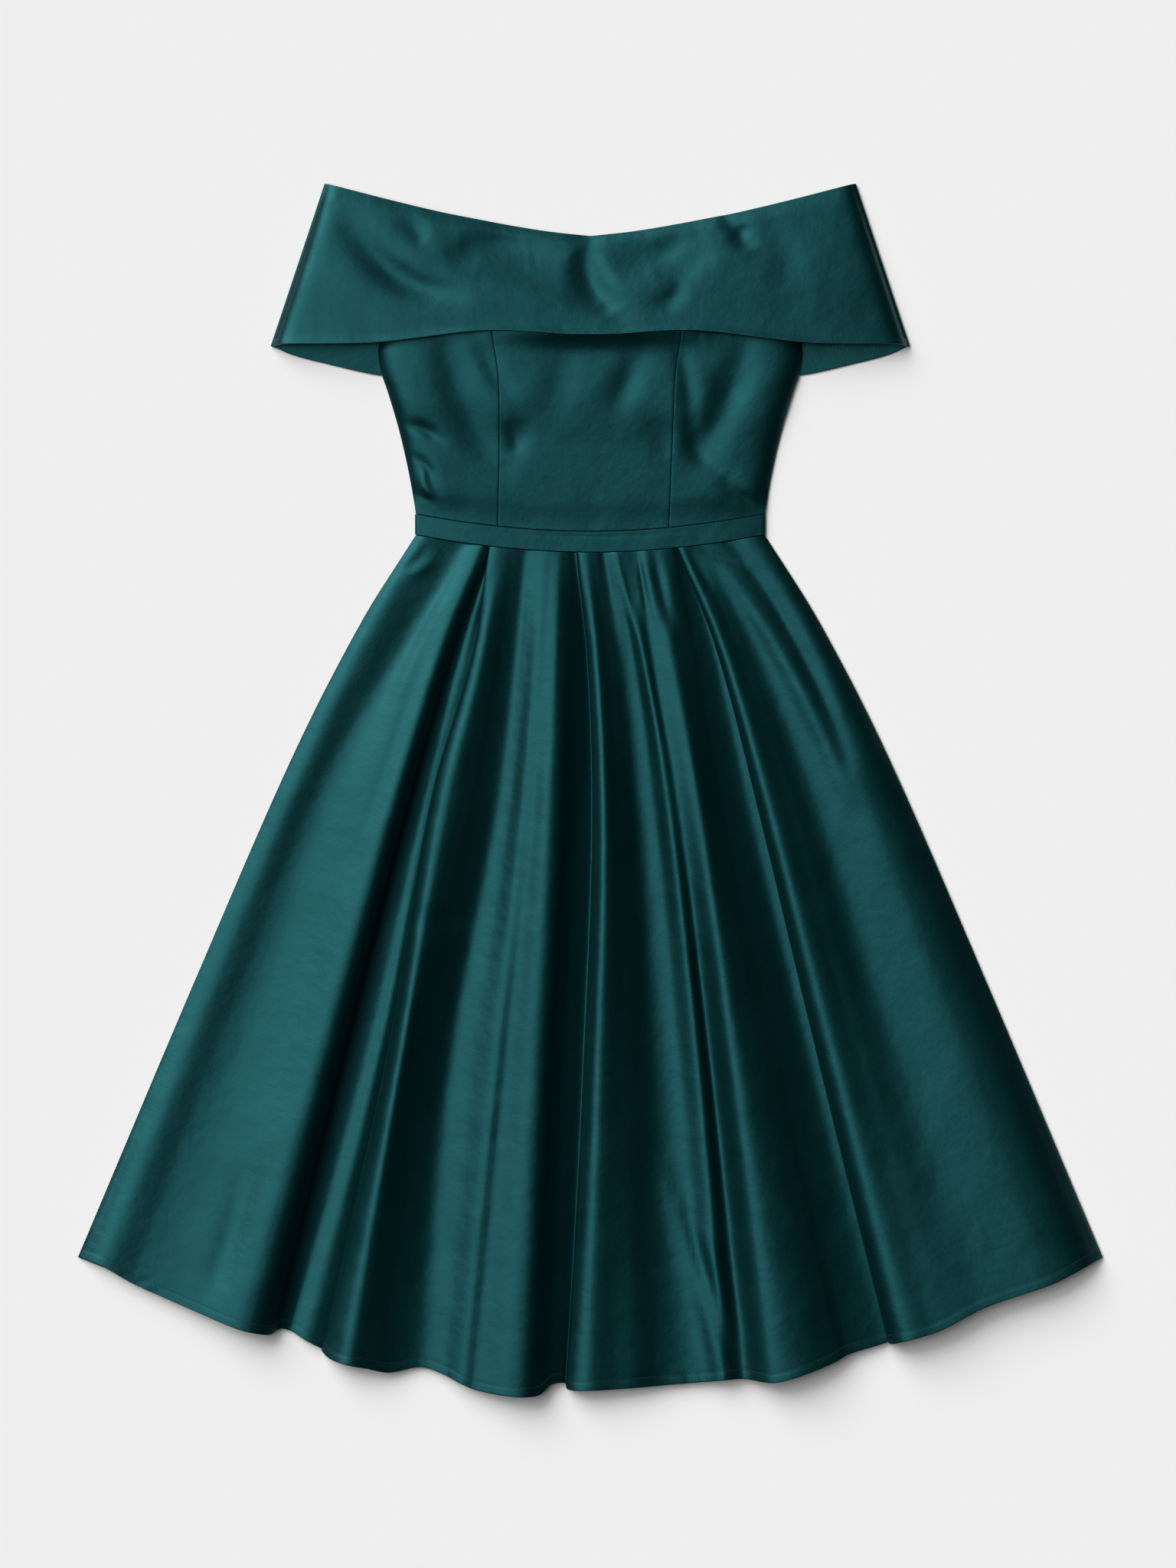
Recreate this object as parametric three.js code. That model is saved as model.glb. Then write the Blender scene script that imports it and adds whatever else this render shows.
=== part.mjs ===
// An off-shoulder dress in heavy satin, laid flat on its back on a table with its front upwards.
// A wide fold-over collar wraps the neckline, the bodice has princess seams, and the full skirt
// falls from a narrow waistband in three deep folds, one at each princess seam and one at the centre.
// Millimetres, +Z up from the table, +X to the wearer's left, +Y towards the neckline.
import * as THREE from "three";

// Driving dimensions
const CLOTH = 1.2; // one wall of skirt or bodice
const DOUBLE = 1.8; // the collar and the waistband, which are cut double
const SEAM_GAP = 0.3; // between two pieces at a seam, and between two layers
const WAIST_HALF = 168.5; // half the flat waist, for a waist of 68 cm
const WAIST_Y = 230; // lower edge of the waistband at the centre front
const WAIST_DIP = 17; // how much lower that edge is at the centre than at the sides
const BAND_HEIGHT = 20; // height of the waistband
const NECK_Y = 535; // neckline at the centre front
const NECK_RISE = 51; // how much higher the collar is at its corners
const COLLAR_TOP_HALF = 256; // half the collar along the neckline
const COLLAR_LOW_HALF = 308; // half the collar along its lower edge
const BACK_HEM_SIDE = 681; // hem of the back below the waist, at the side seams
const BACK_HEM_FALL = 112; // and how much further down it is at the centre back

// Levels along the skirt, as shares of the way from waist to hem, and half its width at each
const LEVELS = [0, 0.12, 0.3, 0.6, 1];
const SKIRT_HALF = [WAIST_HALF, 221, 285.5, 377, 495];

// The folds of the skirt front, from the wearer's right side seam to the left one. Each row is a line
// that runs down the cloth: at is its place across at the five levels, in thousandths of the half-width,
// z its height there, hem how far below the waist it ends, and steps the columns up to the next line.
const RIGHT_SIDE_FOLDS = [
  { line: "side seam", at: [-1000, -1000, -1000, -1000, -1000], z: [2.1, 2.1, 2.1, 2.1, 2.1], hem: 681, steps: 2 },
  { line: "side roll", at: [-950, -952, -955, -957, -957], z: [4.6, 6, 6.2, 6.2, 12], hem: 688, steps: 2 },
  { line: "hollow", at: [-745, -790, -866, -888, -892], z: [2.6, 3.8, 4.6, 4.8, 12], hem: 706, steps: 1 },
  { line: "shelf", at: [-712, -758, -826, -842, -842], z: [3.1, 5, 6, 6, 14], hem: 717, steps: 2 },
  { line: "swell", at: [-664, -712, -752, -766, -772], z: [5.4, 9.8, 12, 12.2, 19], hem: 732, steps: 2 },
  { line: "crest", at: [-620, -643, -654, -668, -682], z: [6.4, 13, 19.2, 22.6, 26], hem: 750, steps: 2 },
  { line: "brow", at: [-598, -615, -625, -636, -648], z: [5.8, 11.4, 17.4, 20.4, 23.4], hem: 754, steps: 2 },
  { line: "edge", at: [-580, -590, -599, -612, -622], z: [5, 7, 10, 11.5, 14], hem: 755, steps: 2 },
  { line: "foot", at: [-571, -579, -588, -600, -608], z: [4.4, 4.6, 5.4, 6, 8], hem: 750, steps: 2 },
  { line: "recess", at: [-558, -552, -550, -548, -584], z: [3.4, 3, 2.6, 2.6, 4.4], hem: 752, steps: 2 },
  { line: "recess swell", at: [-548, -530, -537, -526, -556], z: [3.4, 4, 2.8, 5.4, 8], hem: 761, steps: 2 },
  { line: "tuck", at: [-535, -495, -518, -501, -512], z: [3.2, 3.2, 3, 3, 4.6], hem: 772, steps: 1 },
];
const CENTRE_FOLDS = [
  { line: "pleat edge", at: [-575, -506, -530, -509, -524], z: [6.2, 6, 6, 6.4, 8], hem: 771, steps: 2 },
  { line: "pleat face", at: [-562, -499, -523, -504, -509], z: [6.8, 9.4, 11, 13.4, 15], hem: 778, steps: 2 },
  { line: "pleat crest", at: [-535, -468, -488, -477, -475], z: [7.4, 12, 17, 21.4, 23], hem: 784, steps: 2 },
  { line: "pleat back", at: [-482, -425, -420, -448, -434], z: [7.2, 10, 13.2, 17, 18], hem: 788, steps: 2 },
  { line: "second edge", at: [-425, -380, -368, -408, -394], z: [6.2, 6.6, 8, 10.2, 11.4], hem: 792, steps: 2 },
  { line: "second foot", at: [-366, -320, -310, -352, -330], z: [5.2, 4.6, 4.6, 4, 6], hem: 787, steps: 2 },
  { line: "rise", at: [-325, -282, -270, -302, -290], z: [6.4, 7.2, 7.2, 7.6, 8.6], hem: 793, steps: 3 },
  { line: "first swell", at: [-265, -236, -228, -240, -250], z: [7.8, 11.4, 13.8, 16.4, 16], hem: 803, steps: 2 },
  { line: "dip", at: [-225, -200, -192, -212, -226], z: [8, 12.6, 16, 16.2, 16], hem: 808, steps: 2 },
  { line: "second swell", at: [-180, -150, -142, -150, -162], z: [8, 14.2, 20.4, 22.6, 24], hem: 814, steps: 2 },
  { line: "centre brow", at: [-155, -118, -104, -116, -122], z: [7.6, 12.6, 18.6, 21.4, 23.6], hem: 815, steps: 2 },
  { line: "centre edge", at: [-130, -90, -76, -90, -98], z: [6.8, 10, 13, 14.5, 16.5], hem: 813, steps: 2 },
  { line: "centre foot", at: [-113, -66, -52, -70, -78], z: [6.2, 7.6, 9, 10, 11.4], hem: 804, steps: 2 },
  { line: "centre recess", at: [-95, -36, -16, -38, -56], z: [5.4, 4.8, 4.8, 5.4, 7], hem: 802, steps: 2 },
  { line: "fold foot", at: [-78, -14, 8, -15, -48], z: [5.6, 3, 2.6, 2.6, 4], hem: 803, steps: 2 },
  { line: "fold face", at: [-68, -8, 13, -10, -44], z: [7.2, 7.8, 11, 12.4, 13.6], hem: 808, steps: 2 },
  { line: "fold crest", at: [-30, 24, 44, 18, -12], z: [8.2, 12.2, 18, 21.6, 21], hem: 809, steps: 3 },
  { line: "fold back", at: [26, 78, 98, 90, 72], z: [7.4, 8.8, 12.4, 14.4, 15], hem: 807, steps: 3 },
  { line: "wide trough", at: [76, 138, 158, 166, 174], z: [6, 6, 6.2, 6.8, 9], hem: 803, steps: 3 },
  { line: "low rise", at: [104, 184, 212, 220, 222], z: [6.8, 7.2, 7.8, 7.8, 10], hem: 801, steps: 2 },
  { line: "low crest", at: [158, 228, 262, 276, 264], z: [8.2, 12.6, 15.8, 16, 16], hem: 799, steps: 2 },
  { line: "narrow trough", at: [262, 264, 294, 301, 298], z: [7, 10.6, 14.2, 10, 10.4], hem: 798, steps: 3 },
  { line: "right crest", at: [335, 352, 364, 362, 360], z: [8, 13.8, 19.8, 22.8, 25], hem: 801, steps: 3 },
  { line: "right back", at: [400, 400, 396, 414, 436], z: [7.2, 11, 16, 19, 22], hem: 790, steps: 2 },
  { line: "right edge", at: [465, 438, 424, 450, 483], z: [6.2, 8.2, 11.6, 14, 17], hem: 780, steps: 1 },
  { line: "right foot", at: [482, 458, 446, 474, 500], z: [5.2, 6.4, 8.6, 10.4, 13], hem: 775, steps: 2 },
  { line: "right recess", at: [512, 530, 520, 540, 566], z: [3.6, 2.8, 2.6, 2.6, 7], hem: 765, steps: 2 },
  { line: "tuck", at: [535, 552, 558, 570, 588], z: [3.2, 3.8, 3.8, 3.4, 6], hem: 761, steps: 1 },
];
const LEFT_SIDE_FOLDS = [
  { line: "lap edge", at: [500, 542, 549, 562, 581], z: [6.2, 5.8, 5.8, 5.8, 8.6], hem: 762, steps: 2 },
  { line: "lap face", at: [508, 547, 554, 567, 586], z: [7, 8.8, 11.4, 13, 17], hem: 764, steps: 2 },
  { line: "lap crest", at: [530, 572, 583, 597, 613], z: [7.6, 12, 17.2, 20.6, 26], hem: 761, steps: 3 },
  { line: "lap back", at: [600, 634, 652, 664, 680], z: [6, 8.8, 12.4, 15.4, 24], hem: 751, steps: 3 },
  { line: "broad trough", at: [690, 700, 722, 736, 766], z: [5, 6, 7, 8.4, 20], hem: 729, steps: 3 },
  { line: "broad swell", at: [840, 866, 890, 900, 905], z: [5.4, 9, 12.6, 13.6, 23], hem: 705, steps: 2 },
  { line: "side roll", at: [955, 962, 965, 965, 965], z: [4.4, 7, 8.6, 9, 16.5], hem: 690, steps: 2 },
  { line: "side seam", at: [1000, 1000, 1000, 1000, 1000], z: [2.1, 2.1, 2.1, 2.1, 2.1], hem: 681, steps: 1 },
];

// Soft troughs of the skirt, and ridges and gathers where the depth is negative: where each starts and
// ends, as a share across and a level, how far it bows to its left, half its width, and its depth
const SKIRT_CREASES = [
  { from: [-0.695, 0.1], to: [-0.71, 0.44], bow: 0, width: 8, depth: 1.5 },
  { from: [-0.745, 0.8], to: [-0.745, 0.97], bow: 0, width: 13, depth: 2.6 },
  { from: [-0.955, 0.05], to: [-0.9, 0.01], bow: -3, width: 5, depth: 1.2 },
  { from: [-0.93, 0.05], to: [-0.86, 0.02], bow: -5, width: 5, depth: -1.6 },
  { from: [-0.5, 0.46], to: [-0.34, 0.46], bow: 5, width: 9, depth: 1.8 },
  { from: [-0.515, 0.02], to: [-0.52, 0.14], bow: 0, width: 5, depth: 0.9 },
  { from: [0.165, 0.74], to: [0.262, 0.99], bow: 3, width: 11, depth: -2.2 },
  { from: [0.13, 0], to: [0.15, 0.12], bow: 0, width: 6, depth: -1 },
  { from: [0.2, 0], to: [0.22, 0.07], bow: 0, width: 4, depth: 1.1 },
  { from: [0.235, 0], to: [0.25, 0.08], bow: 0, width: 4, depth: -0.8 },
  { from: [0.262, 0], to: [0.27, 0.06], bow: 0, width: 3, depth: 0.9 },
  { from: [0.3, 0], to: [0.31, 0.09], bow: 0, width: 4, depth: -0.8 },
  { from: [0.357, 0], to: [0.362, 0.09], bow: 0, width: 5, depth: 1 },
  { from: [0.41, 0], to: [0.41, 0.1], bow: 0, width: 6, depth: -0.8 },
  { from: [0.55, 0], to: [0.6, 0.06], bow: 0, width: 5, depth: 0.8 },
  { from: [0.6, -0.02], to: [0.83, 0.34], bow: 12, width: 9, depth: -2.4 },
  { from: [0.71, -0.03], to: [0.875, 0.3], bow: 12, width: 8, depth: 2.8 },
  { from: [0.62, 0], to: [0.8, 0.03], bow: -3, width: 5, depth: 1.2 },
];

// Rows of the skirt wall, closer together near the band, where the folds open
const SKIRT_ROWS = [
  0, 0.025, 0.055, 0.09, 0.13, 0.18, 0.24, 0.31, 0.38, 0.45, 0.53, 0.61, 0.69, 0.77, 0.85, 0.93, 1,
];

// Bodice outline, from the band up to the neckline: how high, and half the width there
const BODICE = {
  y: [251, 267, 308, 350, 384, 409, 431, 480, 559],
  half: [WAIST_HALF, 168.6, 175.3, 185, 195, 203, 204, 190, 166],
};
const BODICE_ROWS = 18;
const HEAD_DROP = 4; // how far below the neckline the bodice stops, inside the collar

// How far out the princess seams lie, on the wearer's right and left
const PRINCESS = {
  y: [251, 330, 400, 441, 560],
  right: [89.5, 88, 88.8, 94.7, 104],
  left: [75.7, 79, 82, 87.3, 97],
};

// How far the middle of the bodice stands above its side edges
const SWELL = { y: [251, 310, 380, 430, 470, 531], height: [5, 11, 13.5, 9.4, 5.5, 3.4] };

// The collar's lower edge in front and behind, by share of the way out from the centre
const COLLAR_LOW = {
  out: [0, 0.08, 0.2, 0.3, 0.4, 0.53, 0.68, 0.85, 0.96, 1],
  y: [439.6, 440, 442.6, 443.8, 442, 437, 432, 431, 431, 429.5],
};
const COLLAR_BACK_LOW = { out: [0, 0.3, 0.66, 0.84, 0.94, 1], y: [386, 390, 401, 413, 421, 429] };
const BACK_DROP = 2; // how much lower the neckline is behind

// The neckline, as the part of its rise that it has reached by each share of the way out
const NECKLINE = { out: [0, 0.15, 0.3, 0.46, 0.57, 0.77, 1], risen: [0, 0.08, 0.2, 0.35, 0.46, 0.7, 1] };

// How far the collar's front stands above its side folds, from the neckline down to the rolled edge
const COLLAR_RISE = { level: [0, 0.1, 0.5, 0.92, 1], height: [7, 10.4, 15, 17.4, 13] };
const COLLAR_ROWS = [0, 0.06, 0.16, 0.3, 0.44, 0.58, 0.72, 0.84, 0.92, 0.965, 1];

// Soft creases: where each starts and ends, how far it bows to its left, half its width, and its depth
const COLLAR_CREASES = [
  { from: [-243, 562], to: [-140, 476], bow: -18, width: 16, depth: 3.2 },
  { from: [-186, 552], to: [-160, 526], bow: 5, width: 9, depth: 1.6 },
  { from: [-128, 528], to: [-20, 508], bow: 8, width: 15, depth: 2.4 },
  { from: [-110, 500], to: [10, 470], bow: 10, width: 16, depth: 2.4 },
  { from: [-3, 532], to: [16, 472], bow: -6, width: 12, depth: 2.8 },
  { from: [10, 514], to: [92, 530], bow: -4, width: 13, depth: 2 },
  { from: [90, 492], to: [64, 466], bow: 4, width: 10, depth: 1.8 },
  { from: [146, 546], to: [158, 522], bow: -6, width: 10, depth: 2.2 },
  { from: [118, 524], to: [60, 500], bow: 5, width: 13, depth: 1.8 },
];
const BODICE_CREASES = [
  { from: [-142, 436], to: [-88, 316], bow: -7, width: 17, depth: 3.4 },
  { from: [-108, 436], to: [-76, 380], bow: -3, width: 10, depth: 1.4 },
  { from: [-180, 318], to: [-146, 276], bow: 6, width: 7, depth: 1.8 },
  { from: [-176, 300], to: [-150, 262], bow: 5, width: 6, depth: -1.2 },
  { from: [152, 436], to: [96, 316], bow: 8, width: 16, depth: 3.6 },
  { from: [112, 400], to: [150, 372], bow: 4, width: 12, depth: 1.2 },
  { from: [128, 306], to: [166, 268], bow: -5, width: 8, depth: 1.8 },
  { from: [-20, 430], to: [-48, 350], bow: 5, width: 17, depth: 2.4 },
  { from: [50, 432], to: [14, 366], bow: 5, width: 13, depth: 2.2 },
  { from: [-66, 362], to: [-78, 320], bow: 3, width: 12, depth: 1.2 },
  { from: [62, 360], to: [72, 320], bow: 3, width: 12, depth: 1.1 },
];

const satin = new THREE.MeshStandardMaterial({ name: "satin", color: 0x0c4443, roughness: 0.42 });

const { clamp, lerp, smoothstep } = THREE.MathUtils;
const dress = new THREE.Group();

// A smooth value at t from values given at rising stations
function through(stations, values, t) {
  const last = stations.length - 1;
  let k = 0;
  while (k < last - 1 && t > stations[k + 1]) k += 1;
  const slope = (i) => {
    const a = Math.max(i - 1, 0);
    const b = Math.min(i + 1, last);
    return (values[b] - values[a]) / (stations[b] - stations[a]);
  };
  const span = stations[k + 1] - stations[k];
  const u = clamp((t - stations[k]) / span, 0, 1);
  const start = values[k] * (1 + 2 * u) + slope(k) * span * u;
  const end = values[k + 1] * (3 - 2 * u) + slope(k + 1) * span * (u - 1);
  return start * (1 - u) ** 2 + end * u ** 2;
}

// How far the creases in a list lower the cloth at a place
function creased(creases, x, y) {
  let drop = 0;
  for (const { from, to, bow, width, depth } of creases) {
    const run = [to[0] - from[0], to[1] - from[1]];
    const length = Math.hypot(...run);
    const share = clamp(((x - from[0]) * run[0] + (y - from[1]) * run[1]) / length ** 2, 0, 1);
    const bowed = (bow * 4 * share * (1 - share)) / length;
    const middle = [from[0] + run[0] * share - run[1] * bowed, from[1] + run[1] * share + run[0] * bowed];
    const off = Math.hypot(x - middle[0], y - middle[1]);
    drop += depth * Math.exp(-((off / width) ** 2)) * (0.25 + 3 * share * (1 - share));
  }
  return drop;
}

// A closed wall of even thickness whose middle surface passes through a grid of points. Its first and
// last rows stand square to Y, and its first and last columns square to X, so seams keep their gap.
function wall(grid, thickness) {
  const rows = grid.length;
  const columns = grid[0].length;
  const heading = (before, here, after) =>
    after.clone().sub(here).normalize().add(here.clone().sub(before).normalize());
  const upper = [];
  const lower = [];
  for (let r = 0; r < rows; r += 1) {
    for (let c = 0; c < columns; c += 1) {
      const across = heading(grid[r][Math.max(c - 1, 0)], grid[r][c], grid[r][Math.min(c + 1, columns - 1)]);
      const down = heading(grid[Math.max(r - 1, 0)][c], grid[r][c], grid[Math.min(r + 1, rows - 1)][c]);
      const normal = down.clone().cross(across).normalize();
      if (r === 0 || r === rows - 1) normal.y = 0;
      if (c === 0 || c === columns - 1) normal.x = 0;
      normal.setLength(thickness / 2);
      upper.push(grid[r][c].clone().add(normal));
      lower.push(grid[r][c].clone().sub(normal));
    }
  }
  const points = [...upper, ...lower];
  const under = upper.length;
  const faces = [];
  const quad = (a, b, c, d) => faces.push(a, b, c, a, c, d);
  const at = (r, c) => r * columns + c;
  for (let r = 0; r + 1 < rows; r += 1) {
    for (let c = 0; c + 1 < columns; c += 1) {
      const corners = [at(r, c), at(r + 1, c), at(r + 1, c + 1), at(r, c + 1)];
      quad(...corners);
      quad(...corners.map((i) => i + under).reverse());
    }
    quad(at(r, 0), at(r, 0) + under, at(r + 1, 0) + under, at(r + 1, 0));
    const end = columns - 1;
    quad(at(r + 1, end), at(r + 1, end) + under, at(r, end) + under, at(r, end));
  }
  for (let c = 0; c + 1 < columns; c += 1) {
    quad(at(0, c + 1), at(0, c + 1) + under, at(0, c) + under, at(0, c));
    const end = rows - 1;
    quad(at(end, c), at(end, c) + under, at(end, c + 1) + under, at(end, c + 1));
  }
  const geometry = new THREE.BufferGeometry().setFromPoints(points);
  geometry.setIndex(faces);
  geometry.computeVertexNormals();
  return geometry;
}

function add(name, grid, thickness) {
  const mesh = new THREE.Mesh(wall(grid, thickness), satin);
  mesh.name = name;
  dress.add(mesh);
}

// Even shares from 0 to 1 in n steps
const count = (n) => Array.from({ length: n + 1 }, (_, i) => i / n);

// Heights that the layers share
const SKIN = CLOTH / 2; // middle of a layer that rests on the table
const LIFT = CLOTH + SEAM_GAP; // from the middle of one layer to the middle of the next
const BAND_TURN = 1.5; // radius of the band and collar where they turn under

const BAND_RISE = 3.7; // how far the middle of the band's front stands above its side folds

// Height of the band's front, which the bodice and the skirt meet
function bandHeight(share) {
  return DOUBLE / 2 + 2 * BAND_TURN + BAND_RISE * (1 - Math.abs(share) ** 4);
}

// The skirt front

// How much higher the band's edge is at a place than at the centre
const dip = (x) => WAIST_DIP * Math.min(Math.abs(x) / WAIST_HALF, 1) ** 1.9;

// One line of the fold table at a level between waist and hem
function foldPoint(row, level) {
  const share = through(LEVELS, row.at, level) / 1000;
  const top = WAIST_Y - SEAM_GAP / 2 + dip(share * WAIST_HALF);
  const y = lerp(top, WAIST_Y - row.hem, level);
  return new THREE.Vector3(share * through(LEVELS, SKIRT_HALF, level), y, through(LEVELS, row.z, level));
}

// The place on the table of a share across and a level
function skirtPlace([share, level]) {
  const rows = [...RIGHT_SIDE_FOLDS, ...CENTRE_FOLDS, ...LEFT_SIDE_FOLDS];
  const next = Math.max(rows.findIndex((row) => row.at.at(-1) >= 1000 * share), 1);
  const [here, after] = [rows[next - 1], rows[next]];
  const part = (1000 * share - here.at.at(-1)) / (after.at.at(-1) - here.at.at(-1));
  const top = WAIST_Y + dip(share * WAIST_HALF);
  return [share * through(LEVELS, SKIRT_HALF, level), lerp(top, WAIST_Y - lerp(here.hem, after.hem, part), level)];
}

const skirtCreases = SKIRT_CREASES.map((crease) => ({
  ...crease,
  from: skirtPlace(crease.from),
  to: skirtPlace(crease.to),
}));

function skirtFront(name, folds) {
  const last = folds.length - 1;
  const stretch = (row, i) => count(row.steps).slice(0, -1).map((u) => (i + u) / last);
  const places = [...folds.slice(0, last).flatMap(stretch), 1];
  const grid = SKIRT_ROWS.map((level) => {
    const lines = folds.map((row) => foldPoint(row, level));
    const section = new THREE.CatmullRomCurve3(lines, false, "centripetal");
    return places.map((place) => {
      const point = section.getPoint(place);
      point.z -= creased(skirtCreases, point.x, point.y);
      return point;
    });
  });
  add(name, grid, CLOTH);
}

skirtFront("skirt_front_right", RIGHT_SIDE_FOLDS);
skirtFront("skirt_front_centre", CENTRE_FOLDS);
skirtFront("skirt_front_left", LEFT_SIDE_FOLDS);

// The skirt back, which lies flat on the table under the front
function skirtBack(name, side) {
  const top = WAIST_Y + WAIST_DIP - SEAM_GAP / 2;
  const grid = count(12).map((level) =>
    count(8).map((u) => {
      const share = side < 0 ? u - 1 : u;
      const hem = WAIST_Y - BACK_HEM_SIDE - BACK_HEM_FALL * (1 - Math.abs(share) ** 1.8);
      const x = share === 0 ? (side * SEAM_GAP) / 2 : share * through(LEVELS, SKIRT_HALF, level);
      return new THREE.Vector3(x, lerp(top, hem, level), SKIN);
    }),
  );
  add(name, grid, CLOTH);
}

skirtBack("skirt_back_right", -1);
skirtBack("skirt_back_left", 1);

// A band that wraps the body: across its front, round each side fold, and back to the centre back.
// Each stop is a share of the half-width and which layer it is on: 1 in front, 0 at a fold, -1 behind.
function wrapStops(frontSteps, backSteps) {
  const back = count(backSteps).map((u) => ({ share: -u, layer: -1 }));
  const front = count(frontSteps).map((u) => ({ share: 2 * u - 1, layer: 1 }));
  const turn = (share) => [-0.7, 0, 0.7].map((layer) => ({ share, layer: share < 0 ? layer : -layer }));
  const other = back.map((stop) => ({ ...stop, share: -stop.share })).reverse();
  return [...back, ...turn(-1), ...front, ...turn(1), ...other];
}

// A stop's place across, and its height before the front is lifted
function wrapPlace({ share, layer }, half) {
  const angle = (layer * Math.PI) / 2;
  const x = share * (half - BAND_TURN) + Math.sign(share) * BAND_TURN * Math.cos(angle);
  return { x, z: DOUBLE / 2 + BAND_TURN * (1 + Math.sin(angle)) };
}

function bandY({ layer }, level, x) {
  return WAIST_Y + (layer > 0 ? dip(x) : WAIST_DIP) + lerp(BAND_HEIGHT, SEAM_GAP / 2, level);
}

// The wrapped wall: half is its half-width and height its front's lift, both at a level
function wrap(name, stops, rows, half, height, yAt) {
  const grid = rows.map((level) =>
    stops.map((stop, i) => {
      const { x, z } = wrapPlace(stop, half(level));
      const end = i === 0 ? -SEAM_GAP / 2 : SEAM_GAP / 2;
      const clear = i === 0 || i === stops.length - 1 ? end : x;
      const lift = stop.layer === 1 ? height(stop.share, level, x) : 0;
      return new THREE.Vector3(clear, yAt(stop, level, x), z + lift);
    }),
  );
  add(name, grid, DOUBLE);
}

wrap(
  "waistband",
  wrapStops(24, 4),
  count(2),
  () => WAIST_HALF,
  (share) => bandHeight(share) - bandHeight(1),
  bandY,
);

// The bodice

const COLLAR_STEP = { from: 330, to: 380 }; // where the back rises from the table onto the collar's back
const BAND_EASE = 30; // over how long a stretch the bodice leaves the band's height

const backLift = (y) => (DOUBLE + SEAM_GAP) * smoothstep(y, COLLAR_STEP.from, COLLAR_STEP.to);

function bodiceFrontHeight(share, x, y) {
  const side = SKIN + LIFT + backLift(y);
  const body = side + through(SWELL.y, SWELL.height, y) * (1 - Math.abs(share) ** 10);
  const above = y - WAIST_Y - BAND_HEIGHT - dip(x);
  const near = smoothstep(above, 0, BAND_EASE);
  return lerp(bandHeight(share), body, near) - creased(BODICE_CREASES, x, y) * near * (1 - share ** 6);
}

// How high on the bodice a place is, from its share across and its level between neckline and band
function bodiceY(share, level, foot) {
  const across = (Math.abs(share) * BODICE.half.at(-1)) / COLLAR_TOP_HALF;
  const head = NECK_Y - HEAD_DROP + NECK_RISE * through(NECKLINE.out, NECKLINE.risen, across);
  return lerp(head, foot + BAND_HEIGHT + SEAM_GAP, level);
}

const sideFoot = WAIST_Y + WAIST_DIP;
const bodiceHalf = (level) => through(BODICE.y, BODICE.half, bodiceY(1, level, sideFoot));

// The share across at which a princess seam crosses a level
function seamShare(side, level) {
  const y = bodiceY(0.5, level, WAIST_Y + dip(WAIST_HALF / 2));
  return (side * through(PRINCESS.y, side < 0 ? PRINCESS.right : PRINCESS.left, y)) / bodiceHalf(level);
}

// A front panel between two lines, each a share across at every level
function bodiceFront(name, columns, from, to) {
  const grid = count(BODICE_ROWS).map((level) =>
    count(columns).map((u) => {
      const gap = SEAM_GAP / 2 / bodiceHalf(level);
      const start = from(level) + (from(level) > -1 ? gap : 0);
      const end = to(level) - (to(level) < 1 ? gap : 0);
      const share = lerp(start, end, u);
      const x = share * bodiceHalf(level);
      const y = bodiceY(share, level, WAIST_Y + dip(share * WAIST_HALF));
      return new THREE.Vector3(x, y, bodiceFrontHeight(share, x, y));
    }),
  );
  add(name, grid, CLOTH);
}

const rightSeam = (level) => seamShare(-1, level);
const leftSeam = (level) => seamShare(1, level);
bodiceFront("bodice_front_right", 7, () => -1, rightSeam);
bodiceFront("bodice_front_centre", 12, rightSeam, leftSeam);
bodiceFront("bodice_front_left", 7, leftSeam, () => 1);

function bodiceBack(name, side) {
  const grid = count(BODICE_ROWS).map((level) =>
    count(6).map((u) => {
      const share = side < 0 ? u - 1 : u;
      const y = bodiceY(share, level, sideFoot);
      const x = share * bodiceHalf(level);
      return new THREE.Vector3(x === 0 ? (side * SEAM_GAP) / 2 : x, y, SKIN + backLift(y));
    }),
  );
  add(name, grid, CLOTH);
}

bodiceBack("bodice_back_right", -1);
bodiceBack("bodice_back_left", 1);

// The collar, which wraps the upper arms and hangs over the bodice in front and behind

function collarY({ share, layer }, level) {
  const out = Math.abs(share);
  const top = NECK_Y + NECK_RISE * through(NECKLINE.out, NECKLINE.risen, out) - (layer < 0 ? BACK_DROP : 0);
  const low = layer > 0 ? COLLAR_LOW : COLLAR_BACK_LOW;
  return lerp(top, through(low.out, low.y, out), level);
}

function collarRise(share, level, x) {
  const rise = through(COLLAR_RISE.level, COLLAR_RISE.height, level) * (1 - Math.abs(share) ** 5);
  return rise - creased(COLLAR_CREASES, x, collarY({ share, layer: 1 }, level)) * (1 - share ** 6);
}

wrap(
  "collar",
  wrapStops(30, 5),
  COLLAR_ROWS,
  (level) => lerp(COLLAR_TOP_HALF, COLLAR_LOW_HALF, level),
  collarRise,
  collarY,
);

// Origin at the middle of the underside
const box = new THREE.Box3().setFromObject(dress, true);
const middle = box.getCenter(new THREE.Vector3());
dress.position.set(-middle.x, -middle.y, -box.min.z);

export default dress;
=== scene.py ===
"""Dresses an off-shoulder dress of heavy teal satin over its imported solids, as it lies flat on a table.

The dress is a wide fold-over collar, a bodice with princess seams, a narrow waistband and a full skirt
that falls in deep folds. Sizes and tables are in millimetres, with +X to the wearer's left, +Y towards
the neckline and +Z up from the table, and each sheet of cloth is laid in metres when its mesh is made.
"""

import logging
import math
from dataclasses import dataclass
from enum import Enum
from typing import Sequence

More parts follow.
